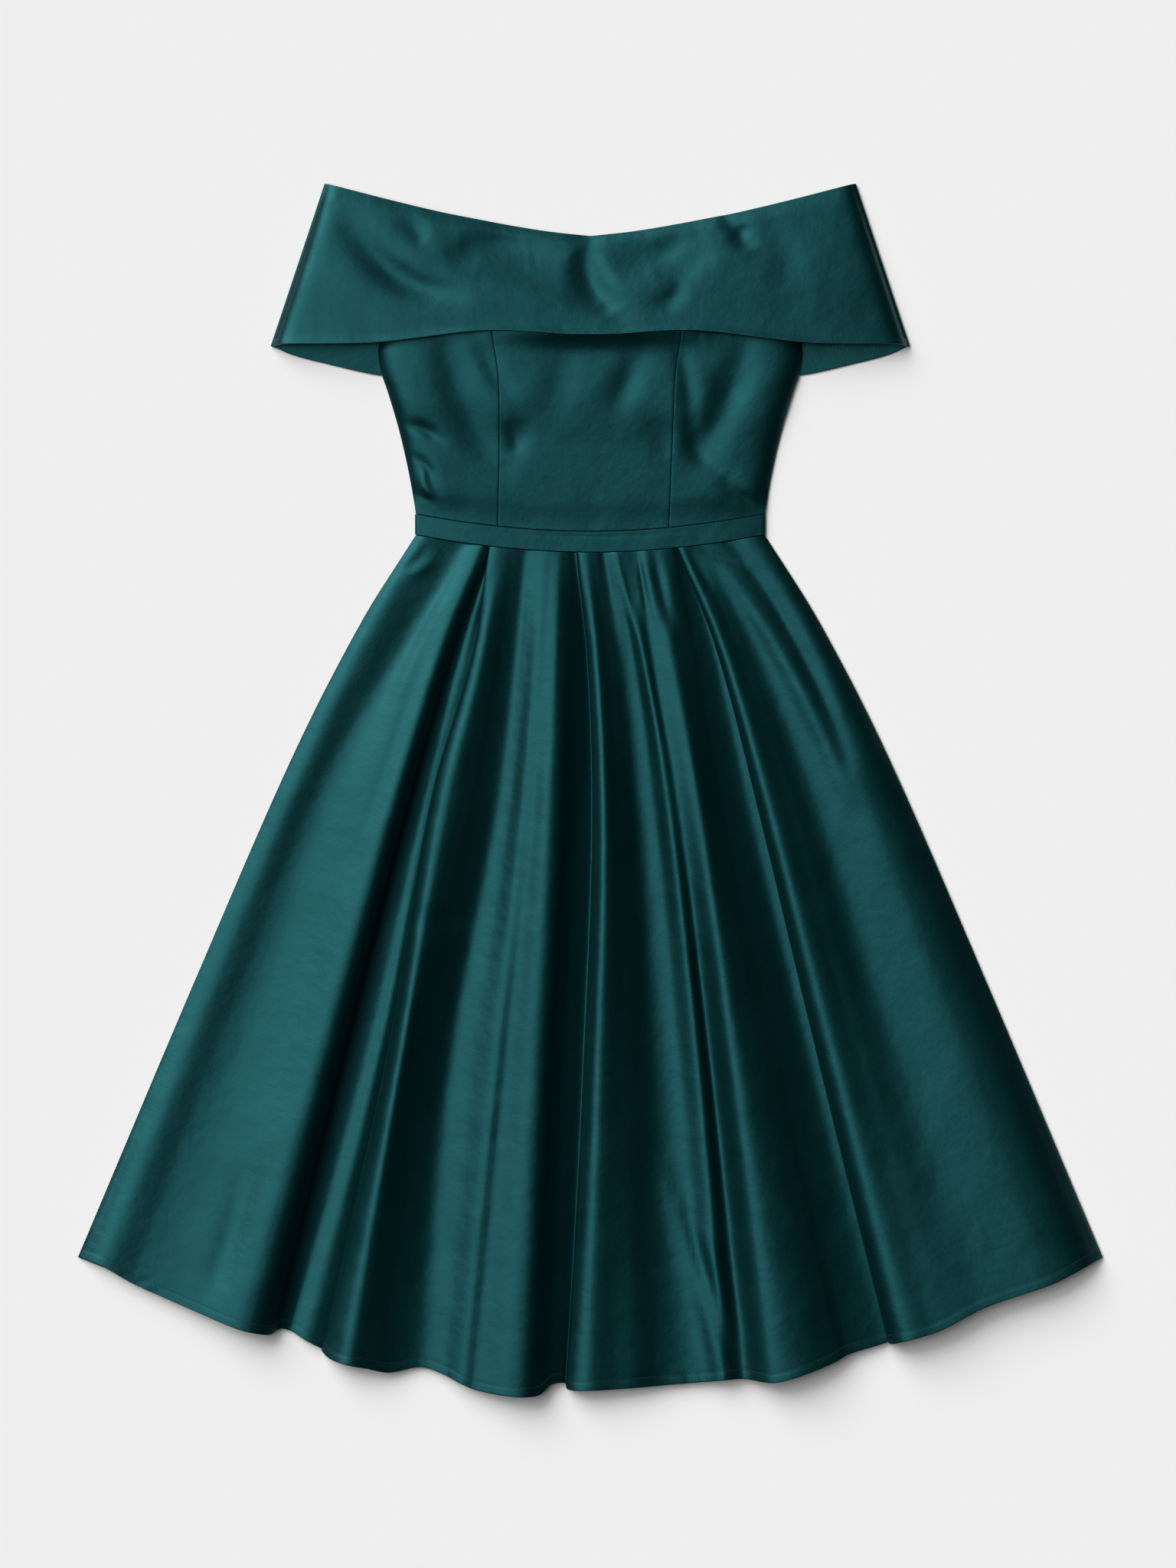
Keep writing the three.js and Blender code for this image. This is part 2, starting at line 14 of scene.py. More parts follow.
import bpy
import numpy as np
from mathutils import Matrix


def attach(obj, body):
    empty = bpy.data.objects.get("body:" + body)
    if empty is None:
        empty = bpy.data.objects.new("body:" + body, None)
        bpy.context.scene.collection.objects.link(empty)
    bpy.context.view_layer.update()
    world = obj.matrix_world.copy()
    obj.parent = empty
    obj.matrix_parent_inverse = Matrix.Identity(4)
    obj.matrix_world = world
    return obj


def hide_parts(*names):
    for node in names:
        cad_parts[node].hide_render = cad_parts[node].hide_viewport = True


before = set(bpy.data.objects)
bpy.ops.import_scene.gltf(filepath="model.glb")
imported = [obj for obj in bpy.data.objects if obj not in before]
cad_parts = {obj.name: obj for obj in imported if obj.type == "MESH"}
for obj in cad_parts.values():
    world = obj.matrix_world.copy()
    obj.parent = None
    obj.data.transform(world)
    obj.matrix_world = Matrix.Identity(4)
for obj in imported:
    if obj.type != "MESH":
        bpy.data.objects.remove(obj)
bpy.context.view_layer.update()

logging.basicConfig(level=logging.INFO, format="%(name)s: %(message)s")
log = logging.getLogger("dress")

MM = 0.001  # metres in a millimetre
WAVE_SCALE = math.tau / 20  # scale at which a wave texture has one band in each unit of length
AT_SEAM = 1e-9  # a share across below this lies at the centre seam
PHOTO_ROWS = 2048
MM_PER_ROW = 0.74  # how much of the table one row of the picture takes in
Grid = np.ndarray
Place = tuple[float, float]


class Side(Enum):
    """A side of the dress, as the wearer has it: the sign of X there."""

    RIGHT = -1
    LEFT = 1


# Small helpers


def through(stations: Sequence[float], values: Sequence[float], place: Grid | float) -> Grid:
    """Gives a smooth value between values known at rising stations.

    Args:
        stations: where the values are known.
        values: the value at each station.
        place: where the value is wanted, one number or many.

    Returns:
        The value at each place, held level beyond the ends.
    """
    known = np.asarray(stations, float)
    value = np.asarray(values, float)
    at = np.asarray(place, float)
    slope = np.gradient(value)
    slope[1:-1] = (value[2:] - value[:-2]) / (known[2:] - known[:-2])
    slope[0] = (value[1] - value[0]) / (known[1] - known[0])
    slope[-1] = (value[-1] - value[-2]) / (known[-1] - known[-2])
    k = np.clip(np.searchsorted(known, at, side="right") - 1, 0, len(known) - 2)
    span = known[k + 1] - known[k]
    u = np.clip((at - known[k]) / span, 0, 1)
    start = value[k] * (1 + 2 * u) + slope[k] * span * u
    end = value[k + 1] * (3 - 2 * u) + slope[k + 1] * span * (u - 1)
    return start * (1 - u) ** 2 + end * u**2


def blend(low: Grid | float, high: Grid | float, share: Grid | float) -> Grid:
    """Gives the value at a share of the way from low to high."""
    return low + (high - low) * share


def ease(value: Grid | float, start: float, end: float) -> Grid:
    """Rises smoothly from 0 at start to 1 at end."""
    u = np.clip((np.asarray(value, float) - start) / (end - start), 0, 1)
    return u * u * (3 - 2 * u)


def bell(distance: Grid | float, width: float) -> Grid:
    """Falls smoothly from 1 at no distance to nearly nothing at twice the width."""
    return np.exp(-((np.asarray(distance, float) / width) ** 2))


def shares(steps: int, crowding: float = 0.0) -> Grid:
    """Splits the way from 0 to 1, closer together at both ends where crowding is near 1.

    Args:
        steps: how many stretches there are.
        crowding: 0 for even stretches, up to 1 for the most crowded ends.

    Returns:
        The steps + 1 shares.
    """
    even = np.linspace(0, 1, steps + 1)
    return blend(even, 0.5 - 0.5 * np.cos(math.pi * even), crowding)


def linear(hex_colour: str) -> tuple[float, float, float, float]:
    """Turns an sRGB hex colour into the linear one that a shader takes."""
    parts = [int(hex_colour[i : i + 2], 16) / 255 for i in (1, 3, 5)]
    lit = [p / 12.92 if p <= 0.04045 else ((p + 0.055) / 1.055) ** 2.4 for p in parts]
    return (lit[0], lit[1], lit[2], 1.0)


def node(tree: bpy.types.NodeTree, kind: str, settings: dict, links: dict) -> bpy.types.Node:
    """Adds a node to a material.

    Args:
        tree: the material's node tree.
        kind: the type of the node.
        settings: what its properties and its input sockets are set to, by name.
        links: the output socket that feeds each of its input sockets, by name.

    Returns:
        The new node.
    """
    made = tree.nodes.new(kind)
    for name, value in settings.items():
        if name in made.inputs:
            made.inputs[name].default_value = value
        else:
            setattr(made, name, value)
    for name, source in links.items():
        tree.links.new(source, made.inputs[name])
    return made


# Finishes


@dataclass(frozen=True)
class Satin:
    """Duchess satin, a heavy weave with long floats on its face.

    The floats lie side by side, so the face has one broad soft sheen that slides off each fold and
    leaves the far side of the fold nearly black.
    """

    name: str = "duchess_satin"
    colour: str = "#001618"
    shade: str = "#001012"
    sheen_tint: str = "#6cf0fa"
    roughness: float = 0.4
    roughness_spread: float = 0.05  # how much more or less matt the cloth is from place to place
    ior: float = 1.54
    specular: float = 0.54
    grain: float = 1.6  # the floats are 0.2 mm apart, and are drawn this coarse so that they show
    grain_strength: float = 0.35
    grain_depth: float = 0.05
    mottle: float = 45.0  # length of the soft unevenness of pressed cloth
    mottle_depth: float = 1.1  # height of that unevenness, which breaks up the sheen

    def material(self) -> bpy.types.Material:
        """Makes the material, whose patterns follow the cloth's own UV map, in metres."""
        made = bpy.data.materials.new(self.name)
        made.use_nodes = True
        tree = made.node_tree
        face = tree.nodes["Principled BSDF"]
        along = tree.nodes.new("ShaderNodeUVMap")
        along.uv_map = "cloth"
        cloth = along.outputs["UV"]
        floats = node(
            tree,
            "ShaderNodeTexWave",
            {
                "wave_type": "BANDS",
                "bands_direction": "DIAGONAL",
                "Scale": WAVE_SCALE / (self.grain * MM),
                "Distortion": 2.0,
                "Detail": 1.0,
            },
            {"Vector": cloth},
        )
        slubs = node(
            tree,
            "ShaderNodeTexNoise",
            {"Scale": 1 / (2 * self.grain * MM), "Detail": 3.0},
            {"Vector": cloth},
        )
        mottle = node(
            tree,
            "ShaderNodeTexNoise",
            {"Scale": 1 / (self.mottle * MM), "Detail": 4.0},
            {"Vector": cloth},
        )
        dye = node(tree, "ShaderNodeMix", {"data_type": "RGBA"}, {"Factor": slubs.outputs["Fac"]})
        # the mix has several sockets of the same names, so its colours go by number
        dye.inputs[6].default_value = linear(self.shade)
        dye.inputs[7].default_value = linear(self.colour)
        polish = node(
            tree,
            "ShaderNodeMapRange",
            {
                "To Min": self.roughness - self.roughness_spread,
                "To Max": self.roughness + self.roughness_spread,
            },
            {"Value": mottle.outputs["Fac"]},
        )
        pressed = node(
            tree,
            "ShaderNodeBump",
            {"Strength": 1.0, "Distance": self.mottle_depth * MM},
            {"Height": mottle.outputs["Fac"]},
        )
        woven = node(
            tree,
            "ShaderNodeBump",
            {"Strength": self.grain_strength, "Distance": self.grain_depth * MM},
            {"Height": floats.outputs["Fac"], "Normal": pressed.outputs["Normal"]},
        )
        tree.links.new(dye.outputs[2], face.inputs["Base Color"])
        tree.links.new(polish.outputs["Result"], face.inputs["Roughness"])
        tree.links.new(woven.outputs["Normal"], face.inputs["Normal"])
        face.inputs["IOR"].default_value = self.ior
        face.inputs["Specular IOR Level"].default_value = self.specular
        face.inputs["Specular Tint"].default_value = linear(self.sheen_tint)
        return made


@dataclass(frozen=True)
class Thread:
    """Spun polyester sewing thread in about the cloth's colour, with a duller face."""

    name: str = "sewing_thread"
    colour: str = "#031517"
    roughness: float = 0.6
    ply: float = 0.45  # length of one twist of the thread
    ply_strength: float = 0.5
    ply_depth: float = 0.05

    def material(self) -> bpy.types.Material:
        """Makes the material, with the thread's twist as fine slanting bands."""
        made = bpy.data.materials.new(self.name)
        made.use_nodes = True
        tree = made.node_tree
        face = tree.nodes["Principled BSDF"]
        where = tree.nodes.new("ShaderNodeTexCoord").outputs["Object"]
        twist = node(
            tree,
            "ShaderNodeTexWave",
            {"bands_direction": "DIAGONAL", "Scale": WAVE_SCALE / (self.ply * MM)},
            {"Vector": where},
        )
        bump = node(
            tree,
            "ShaderNodeBump",
            {"Strength": self.ply_strength, "Distance": self.ply_depth * MM},
            {"Height": twist.outputs["Fac"]},
        )
        tree.links.new(bump.outputs["Normal"], face.inputs["Normal"])
        face.inputs["Base Color"].default_value = linear(self.colour)
        face.inputs["Roughness"].default_value = self.roughness
        return made


@dataclass(frozen=True)
class Paper:
    """Matt white background paper, which shows soft shadows and no gloss."""

    name: str = "background_paper"
    colour: str = "#f0f0f0"
    roughness: float = 0.95
    specular: float = 0.1

    def material(self) -> bpy.types.Material:
        """Makes the material."""
        made = bpy.data.materials.new(self.name)
        made.use_nodes = True
        face = made.node_tree.nodes["Principled BSDF"]
        face.inputs["Base Color"].default_value = linear(self.colour)
        face.inputs["Roughness"].default_value = self.roughness
        face.inputs["Specular IOR Level"].default_value = self.specular
        return made


# Creases


@dataclass(frozen=True)
class Crease:
    """A soft trough in the cloth, or a ridge where its depth is negative.

    It runs from start to end, bows to its left by bow, and has half its width and its depth.
    """

    start: Place
    end: Place
    bow: float
    width: float
    depth: float
    end_share: float = 0.25  # how much of the depth is left at either end

    def drop(self, x: Grid, y: Grid) -> Grid:
        """Gives how far the crease lowers the cloth at each place.

        Args:
            x: places across.
            y: places along.

        Returns:
            The drop at each place, fading towards both ends of the crease.
        """
        run = np.subtract(self.end, self.start)
        length = math.hypot(*run)
        share = np.clip(((x - self.start[0]) * run[0] + (y - self.start[1]) * run[1]) / length**2, 0, 1)
        bowed = self.bow * 4 * share * (1 - share) / length
        off = np.hypot(
            x - self.start[0] - run[0] * share + run[1] * bowed,
            y - self.start[1] - run[1] * share - run[0] * bowed,
        )
        fade = self.end_share + 4 * (1 - self.end_share) * share * (1 - share)
        return self.depth * bell(off, self.width) * fade


def creased(creases: Sequence[Crease], x: Grid, y: Grid) -> Grid:
    """Adds up how far a list of creases lowers the cloth at each place."""
    return sum((crease.drop(x, y) for crease in creases), np.zeros_like(x))


# Sheets of cloth


@dataclass(frozen=True)
class Sheet:
    """One cut piece of cloth, laid on its form.

    The grid holds the middle of the cloth, rows from the lowest up and columns from the wearer's right.
    """

    name: str
    stands_for: str
    grid: Grid
    thickness: float
    flat: Place
    area: float
    rests_on: tuple[str, ...]
    edge_share: float = 0.3  # how much of the thickness a cut edge is rounded by
    edge_angle: float = 60.0  # corners sharper than this, in degrees, are cut edges

    def patterns(self) -> Grid:
        """Gives each vertex's place on the cut piece, along its rows and columns, in metres."""
        across = np.linalg.norm(np.diff(self.grid, axis=1), axis=2)
        along = np.linalg.norm(np.diff(self.grid, axis=0), axis=2)
        u = np.pad(np.cumsum(across, axis=1), ((0, 0), (1, 0)))
        u -= u[:, [u.shape[1] // 2]]
        v = np.pad(np.cumsum(along[::-1], axis=0), ((1, 0), (0, 0)))[::-1]
        return np.stack([u, -v], axis=2).reshape(-1, 2) * MM

    def sew(self, cloth: bpy.types.Material) -> bpy.types.Object:
        """Makes the sheet: a flat cut piece that is laid on its form and given its thickness.

        Args:
            cloth: the material of the piece.

        Returns:
            The finished piece, riding on the dress in place of its plain solid.
        """
        rows, columns, _ = self.grid.shape
        bpy.ops.object.select_all(action="DESELECT")
        bpy.ops.mesh.primitive_grid_add(x_subdivisions=columns - 1, y_subdivisions=rows - 1, size=1)
        piece = bpy.context.object
        piece.name = piece.data.name = self.name
        mesh = piece.data
        mesh.vertices.foreach_set("co", (self.grid * MM).ravel())
        mesh.uv_layers[0].name = "cloth"
        corners = np.empty(len(mesh.loops), int)
        mesh.loops.foreach_get("vertex_index", corners)
        mesh.uv_layers[0].data.foreach_set("uv", self.patterns()[corners].ravel())
        mesh.update()
        self.thicken(piece)
        piece.data.materials.append(cloth)
        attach(piece, "root")
        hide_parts(self.stands_for)
        log.info("%s: %d faces", self.name, len(piece.data.polygons))
        return piece

    def thicken(self, piece: bpy.types.Object) -> None:
        """Gives a laid piece its thickness and softly rounded edges, and smooths its shading."""
        wall = piece.modifiers.new("wall", "SOLIDIFY")
        wall.thickness = self.thickness * MM
        wall.offset = 0.0
        bpy.ops.object.modifier_apply(modifier=wall.name)
        edge = piece.modifiers.new("edge", "BEVEL")
        edge.width = self.edge_share * self.thickness * MM
        edge.segments = 2
        edge.limit_method = "ANGLE"
        edge.angle_limit = math.radians(self.edge_angle)
        bpy.ops.object.modifier_apply(modifier=edge.name)
        bpy.ops.object.shade_smooth()


# The dress


@dataclass(frozen=True)
class Cut:
    """The sizes that the pieces of the dress share."""

    cloth: float = 1.2
    double: float = 1.8  # collar and waistband, which are cut double
    seam_gap: float = 0.3
    waist_half: float = 168.5
    waist_y: float = 230.0
    waist_dip: float = 17.0
    dip_power: float = 1.9
    band_height: float = 20.0
    band_rise: float = 3.7
    band_power: int = 4  # the higher it is, the later the band falls away towards its sides
    turn: float = 1.5  # radius of the band and collar where they turn under
    neck_y: float = 535.0
    neck_rise: float = 51.0
    collar_top_half: float = 256.0
    collar_low_half: float = 308.0
    neck_out: tuple[float, ...] = (0, 0.15, 0.3, 0.46, 0.57, 0.77, 1)
    neck_risen: tuple[float, ...] = (0, 0.08, 0.2, 0.35, 0.46, 0.7, 1)

    @property
    def skin(self) -> float:
        """Height of the middle of a layer that rests on the table."""
        return self.cloth / 2

    @property
    def lift(self) -> float:
        """Height from the middle of one layer to the middle of the next."""
        return self.cloth + self.seam_gap

    def dip(self, x: Grid) -> Grid:
        """Gives how much higher the waist is at each place across than at the centre."""
        return self.waist_dip * np.minimum(np.abs(x) / self.waist_half, 1) ** self.dip_power

    def band_top(self, share: Grid) -> Grid:
        """Gives the height of the band's front, which the bodice and the skirt meet."""
        fall = 1 - np.abs(share) ** self.band_power
        return self.double / 2 + 2 * self.turn + self.band_rise * fall

    def neckline(self, out: Grid) -> Grid:
        """Gives the neckline's place along Y by its share of the way out."""
        return self.neck_y + self.neck_rise * through(self.neck_out, self.neck_risen, out)


@dataclass(frozen=True)
class Fold:
    """One line that runs down the skirt's cloth.

    Its place across is given at five levels from waist to hem, in thousandths of the skirt's half-width,
    then its height at the same levels, and how far below the waist it ends.
    """

    line: str
    at: tuple[float, ...]
    z: tuple[float, ...]
    hem: float


@dataclass(frozen=True)
class Pucker:
    """A run of small waves along the hem, where the stitches draw the cloth in.

    The middle and the reach are shares of the half-width, and the wave's length and height are its own.
    """

    middle: float
    reach: float
    length: float
    height: float


LEVELS = (0, 0.12, 0.3, 0.6, 1)
SKIRT_HALF = (168.5, 221, 285.5, 377, 495)

RIGHT_SIDE_FOLDS = (
    Fold("side seam", (-1000, -1000, -1000, -1000, -1000), (2.1, 2.1, 2.1, 2.1, 2.1), 681),
    Fold("side roll", (-950, -952, -955, -957, -957), (4.6, 6, 6.2, 6.2, 12), 688),
    Fold("hollow", (-745, -790, -866, -888, -892), (2.6, 3.8, 4.6, 4.8, 12), 706),
    Fold("shelf", (-712, -758, -826, -842, -842), (3.1, 5, 6, 6, 14), 717),
    Fold("swell", (-664, -712, -752, -766, -772), (5.4, 9.8, 12, 12.2, 19), 732),
    Fold("crest", (-620, -643, -654, -668, -682), (6.4, 13, 19.2, 22.6, 26), 750),
    Fold("brow", (-598, -615, -625, -636, -648), (5.8, 11.4, 17.4, 20.4, 23.4), 754),
    Fold("edge", (-580, -590, -599, -612, -622), (5, 7, 10, 11.5, 14), 755),
    Fold("foot", (-571, -579, -588, -600, -608), (4.4, 4.6, 5.4, 6, 8), 750),
    Fold("recess", (-558, -552, -550, -548, -584), (3.4, 3, 2.6, 2.6, 4.4), 752),
    Fold("recess swell", (-548, -530, -537, -526, -556), (3.4, 4, 2.8, 5.4, 8), 761),
    Fold("tuck", (-535, -495, -518, -501, -512), (3.2, 3.2, 3, 3, 4.6), 772),
)
CENTRE_FOLDS = (
    Fold("pleat edge", (-575, -506, -530, -509, -524), (6.2, 6, 6, 6.4, 8), 771),
    Fold("pleat face", (-562, -499, -523, -504, -509), (6.8, 9.4, 11, 13.4, 15), 778),
    Fold("pleat crest", (-535, -468, -488, -477, -475), (7.4, 12, 17, 21.4, 23), 784),
    Fold("pleat back", (-482, -425, -420, -448, -434), (7.2, 10, 13.2, 17, 18), 788),
    Fold("second edge", (-425, -380, -368, -408, -394), (6.2, 6.6, 8, 10.2, 11.4), 792),
    Fold("second foot", (-366, -320, -310, -352, -330), (5.2, 4.6, 4.6, 4, 6), 787),
    Fold("rise", (-325, -282, -270, -302, -290), (6.4, 7.2, 7.2, 7.6, 8.6), 793),
    Fold("first swell", (-265, -236, -228, -240, -250), (7.8, 11.4, 13.8, 16.4, 16), 803),
    Fold("dip", (-225, -200, -192, -212, -226), (8, 12.6, 16, 16.2, 16), 808),
    Fold("second swell", (-180, -150, -142, -150, -162), (8, 14.2, 20.4, 22.6, 24), 814),
    Fold("centre brow", (-155, -118, -104, -116, -122), (7.6, 12.6, 18.6, 21.4, 23.6), 815),
    Fold("centre edge", (-130, -90, -76, -90, -98), (6.8, 10, 13, 14.5, 16.5), 813),
    Fold("centre foot", (-113, -66, -52, -70, -78), (6.2, 7.6, 9, 10, 11.4), 804),
    Fold("centre recess", (-95, -36, -16, -38, -56), (5.4, 4.8, 4.8, 5.4, 7), 802),
    Fold("fold foot", (-78, -14, 8, -15, -48), (5.6, 3, 2.6, 2.6, 4), 803),
    Fold("fold face", (-68, -8, 13, -10, -44), (7.2, 7.8, 11, 12.4, 13.6), 808),
    Fold("fold crest", (-30, 24, 44, 18, -12), (8.2, 12.2, 18, 21.6, 21), 809),
    Fold("fold back", (26, 78, 98, 90, 72), (7.4, 8.8, 12.4, 14.4, 15), 807),
    Fold("wide trough", (76, 138, 158, 166, 174), (6, 6, 6.2, 6.8, 9), 803),
    Fold("low rise", (104, 184, 212, 220, 222), (6.8, 7.2, 7.8, 7.8, 10), 801),
    Fold("low crest", (158, 228, 262, 276, 264), (8.2, 12.6, 15.8, 16, 16), 799),
    Fold("narrow trough", (262, 264, 294, 301, 298), (7, 10.6, 14.2, 10, 10.4), 798),
    Fold("right crest", (335, 352, 364, 362, 360), (8, 13.8, 19.8, 22.8, 25), 801),
    Fold("right back", (400, 400, 396, 414, 436), (7.2, 11, 16, 19, 22), 790),
    Fold("right edge", (465, 438, 424, 450, 483), (6.2, 8.2, 11.6, 14, 17), 780),
    Fold("right foot", (482, 458, 446, 474, 500), (5.2, 6.4, 8.6, 10.4, 13), 775),
    Fold("right recess", (512, 530, 520, 540, 566), (3.6, 2.8, 2.6, 2.6, 7), 765),
    Fold("tuck", (535, 552, 558, 570, 588), (3.2, 3.8, 3.8, 3.4, 6), 761),
)
LEFT_SIDE_FOLDS = (
    Fold("lap edge", (500, 542, 549, 562, 581), (6.2, 5.8, 5.8, 5.8, 8.6), 762),
    Fold("lap face", (508, 547, 554, 567, 586), (7, 8.8, 11.4, 13, 17), 764),
    Fold("lap crest", (530, 572, 583, 597, 613), (7.6, 12, 17.2, 20.6, 26), 761),
    Fold("lap back", (600, 634, 652, 664, 680), (6, 8.8, 12.4, 15.4, 24), 751),
    Fold("broad trough", (690, 700, 722, 736, 766), (5, 6, 7, 8.4, 20), 729),
    Fold("broad swell", (840, 866, 890, 900, 905), (5.4, 9, 12.6, 13.6, 23), 705),
    Fold("side roll", (955, 962, 965, 965, 965), (4.4, 7, 8.6, 9, 16.5), 690),
    Fold("side seam", (1000, 1000, 1000, 1000, 1000), (2.1, 2.1, 2.1, 2.1, 2.1), 681),
)

# Creases of the skirt: places are a share across and a level between waist and hem. The broad ones, listed
# last, run on past the hem to level 1.7, where their share across is the one that keeps them on their line
SKIRT_CREASES = (
    Crease((-0.695, 0.1), (-0.71, 0.44), 0, 8, 1.5),
    Crease((-0.745, 0.8), (-0.745, 0.97), 0, 13, 2.6),
    Crease((-0.955, 0.05), (-0.9, 0.01), -3, 5, 1.2),
    Crease((-0.93, 0.05), (-0.86, 0.02), -5, 5, -1.6),
    Crease((-0.5, 0.46), (-0.34, 0.46), 5, 9, 1.8),
    Crease((-0.515, 0.02), (-0.52, 0.14), 0, 5, 0.9),
    Crease((0.165, 0.74), (0.262, 0.99), 3, 11, -2.2),
    Crease((0.13, 0), (0.15, 0.12), 0, 6, -1),
    Crease((0.2, 0), (0.22, 0.08), 0, 4, 1.6),
    Crease((0.235, 0), (0.25, 0.08), 0, 4, -0.8),
    Crease((0.262, 0), (0.275, 0.07), 0, 3, 1.3),
    Crease((0.3, 0), (0.31, 0.09), 0, 4, -0.8),
    Crease((0.357, 0), (0.362, 0.09), 0, 5, 1.5),
    Crease((0.41, 0), (0.41, 0.1), 0, 6, -0.8),
    Crease((0.55, 0), (0.6, 0.06), 0, 5, 0.8),
    Crease((0.6, -0.02), (0.83, 0.34), 12, 9, -2.4),
    Crease((0.71, -0.03), (0.875, 0.3), 12, 8, 2.8),
    Crease((0.62, 0), (0.8, 0.03), -3, 5, 1.2),
    Crease((0.215, 0.8), (0.27, 0.98), 2, 7, 2.6),
    Crease((0.25, 0.82), (0.29, 0.96), 2, 7, -1.4),
    Crease((0.74, 0.25), (1.036, 1.7), 0, 55, -5),
    Crease((-0.74, 0.15), (-1.09, 1.7), 0, 42, 2),
    Crease((0.08, 0.3), (0.125, 1.7), 0, 17, -2),
    Crease((0.42, 0.45), (0.594, 1.7), 0, 22, -2),
)

PUCKERS = (
    Pucker(-0.865, 0.02, 7, 0.5),
    Pucker(-0.285, 0.05, 8, 0.4),
    Pucker(0.2, 0.07, 7, 0.45),
)


@dataclass
class SkirtFront:
    """The front of the skirt: a centre panel and two side panels, which fall in folds."""

    cut: Cut
    hem_depth: float = 9.0  # from the hem's edge up to its stitches
    hem_lift: float = 0.14  # how much fuller the hem is below its stitches
    hem_slope: float = 3.0
    groove_depth: float = 0.22
    groove_width: float = 1.0
    row_steps: int = 150
    row_crowding: float = 0.75
    column_pitch: float = 4.2

    def places(self, folds: Sequence[Fold]) -> Grid:
        """Gives the columns of a panel, each a fold's number and a share of the way to the next."""
        columns = []
        for i, (here, after) in enumerate(zip(folds, folds[1:])):
            wide = abs(after.at[3] - here.at[3]) / 1000 * SKIRT_HALF[3]
            steps = max(3, math.ceil(math.hypot(wide, after.z[3] - here.z[3]) / self.column_pitch))
            columns.extend(i + shares(steps)[:-1])
        return np.array([*columns, len(folds) - 1.0])

    def lines(self, folds: Sequence[Fold], level: Grid) -> Grid:
        """Gives the fold lines of a panel.

        Args:
            folds: the panel's lines.
            level: the levels between waist and hem.

        Returns:
            Points by level, by line.
        """
        half = through(LEVELS, SKIRT_HALF, level)
        points = []
        for fold in folds:
            share = through(LEVELS, fold.at, level) / 1000
            top = self.cut.waist_y - self.cut.seam_gap / 2 + self.cut.dip(share * self.cut.waist_half)
            y = blend(top, self.cut.waist_y - fold.hem, level)
            points.append(np.stack([share * half, y, through(LEVELS, fold.z, level)], axis=1))
        return np.stack(points, axis=1)

    def section(self, lines: Grid, places: Grid) -> Grid:
        """Runs a curve across the fold lines at every level, with no overshoot at sharp folds.

        Args:
            lines: points by level, by line.
            places: the columns, each a line's number and a share of the way to the next.

        Returns:
            Points by level, by column.
        """
        ends = [2 * lines[:, :1] - lines[:, 1:2], lines, 2 * lines[:, -1:] - lines[:, -2:-1]]
        knots = np.concatenate(ends, axis=1)
        i = np.minimum(places.astype(int), lines.shape[1] - 2)
        u = (places - i)[None, :, None]
        p0, p1, p2, p3 = (knots[:, i + k] for k in range(4))
        before, here, after = (
            np.sqrt(np.linalg.norm(b - a, axis=2, keepdims=True)) for a, b in ((p0, p1), (p1, p2), (p2, p3))
        )
        out = ((p1 - p0) / before - (p2 - p0) / (before + here) + (p2 - p1) / here) * here
        into = ((p2 - p1) / here - (p3 - p1) / (here + after) + (p3 - p2) / after) * here
        square = -3 * p1 + 3 * p2 - 2 * out - into
        cube = 2 * p1 - 2 * p2 + out + into
        return p1 + out * u + square * u**2 + cube * u**3

    def place(self, share: float, level: float) -> Place:
        """Gives the place of a share across and a level between waist and hem."""
        folds = (*RIGHT_SIDE_FOLDS, *CENTRE_FOLDS, *LEFT_SIDE_FOLDS)
        across = [fold.at[4] / 1000 for fold in folds]
        hem = float(np.interp(share, across, [fold.hem for fold in folds]))
        x = share * float(through(LEVELS, SKIRT_HALF, level))
        top = self.cut.waist_y + float(self.cut.dip(share * self.cut.waist_half))
        return x, float(blend(top, self.cut.waist_y - hem, level))

    def creases(self, listed: Sequence[Crease]) -> list[Crease]:
        """Gives creases that are listed by share and level at their places on the table."""
        laid = []
        for crease in listed:
            ends = self.place(*crease.start), self.place(*crease.end)
            laid.append(Crease(*ends, crease.bow, crease.width, crease.depth))
        return laid

    def hem_form(self, grid: Grid) -> Grid:
        """Gives how far the stitched hem lifts the cloth: a groove, a fuller edge and the puckers."""
        above = np.linalg.norm(np.diff(grid, axis=0), axis=2)
        up = np.pad(np.cumsum(above[::-1], axis=0)[::-1], ((0, 1), (0, 0)))
        fuller = self.hem_lift * ease(self.hem_depth - up, 0, self.hem_slope)
        lift = fuller - self.groove_depth * bell(up - self.hem_depth, self.groove_width)
        share = grid[:, :, 0] / SKIRT_HALF[-1]
        for pucker in PUCKERS:
            wave = np.sin(math.tau * grid[:, :, 0] / pucker.length)
            near = ease(self.hem_depth * 2 - up, 0, self.hem_depth)
            fade = bell(share - pucker.middle, pucker.reach) * near
            lift = lift + pucker.height * wave * fade
        return lift

    def panel(self, name: str, folds: Sequence[Fold], flat: Place, area: float) -> Sheet:
        """Makes one panel of the skirt's front from its fold lines."""
        level = shares(self.row_steps, self.row_crowding)
        grid = self.section(self.lines(folds, level), self.places(folds))
        grid[:, :, 2] -= creased(self.creases(SKIRT_CREASES), grid[:, :, 0], grid[:, :, 1])
        grid[:, :, 2] += self.hem_form(grid)
        below = ("skirt_back_right", "skirt_back_left")
        return Sheet(f"satin_{name}", name, grid[::-1], self.cut.cloth, flat, area, below)

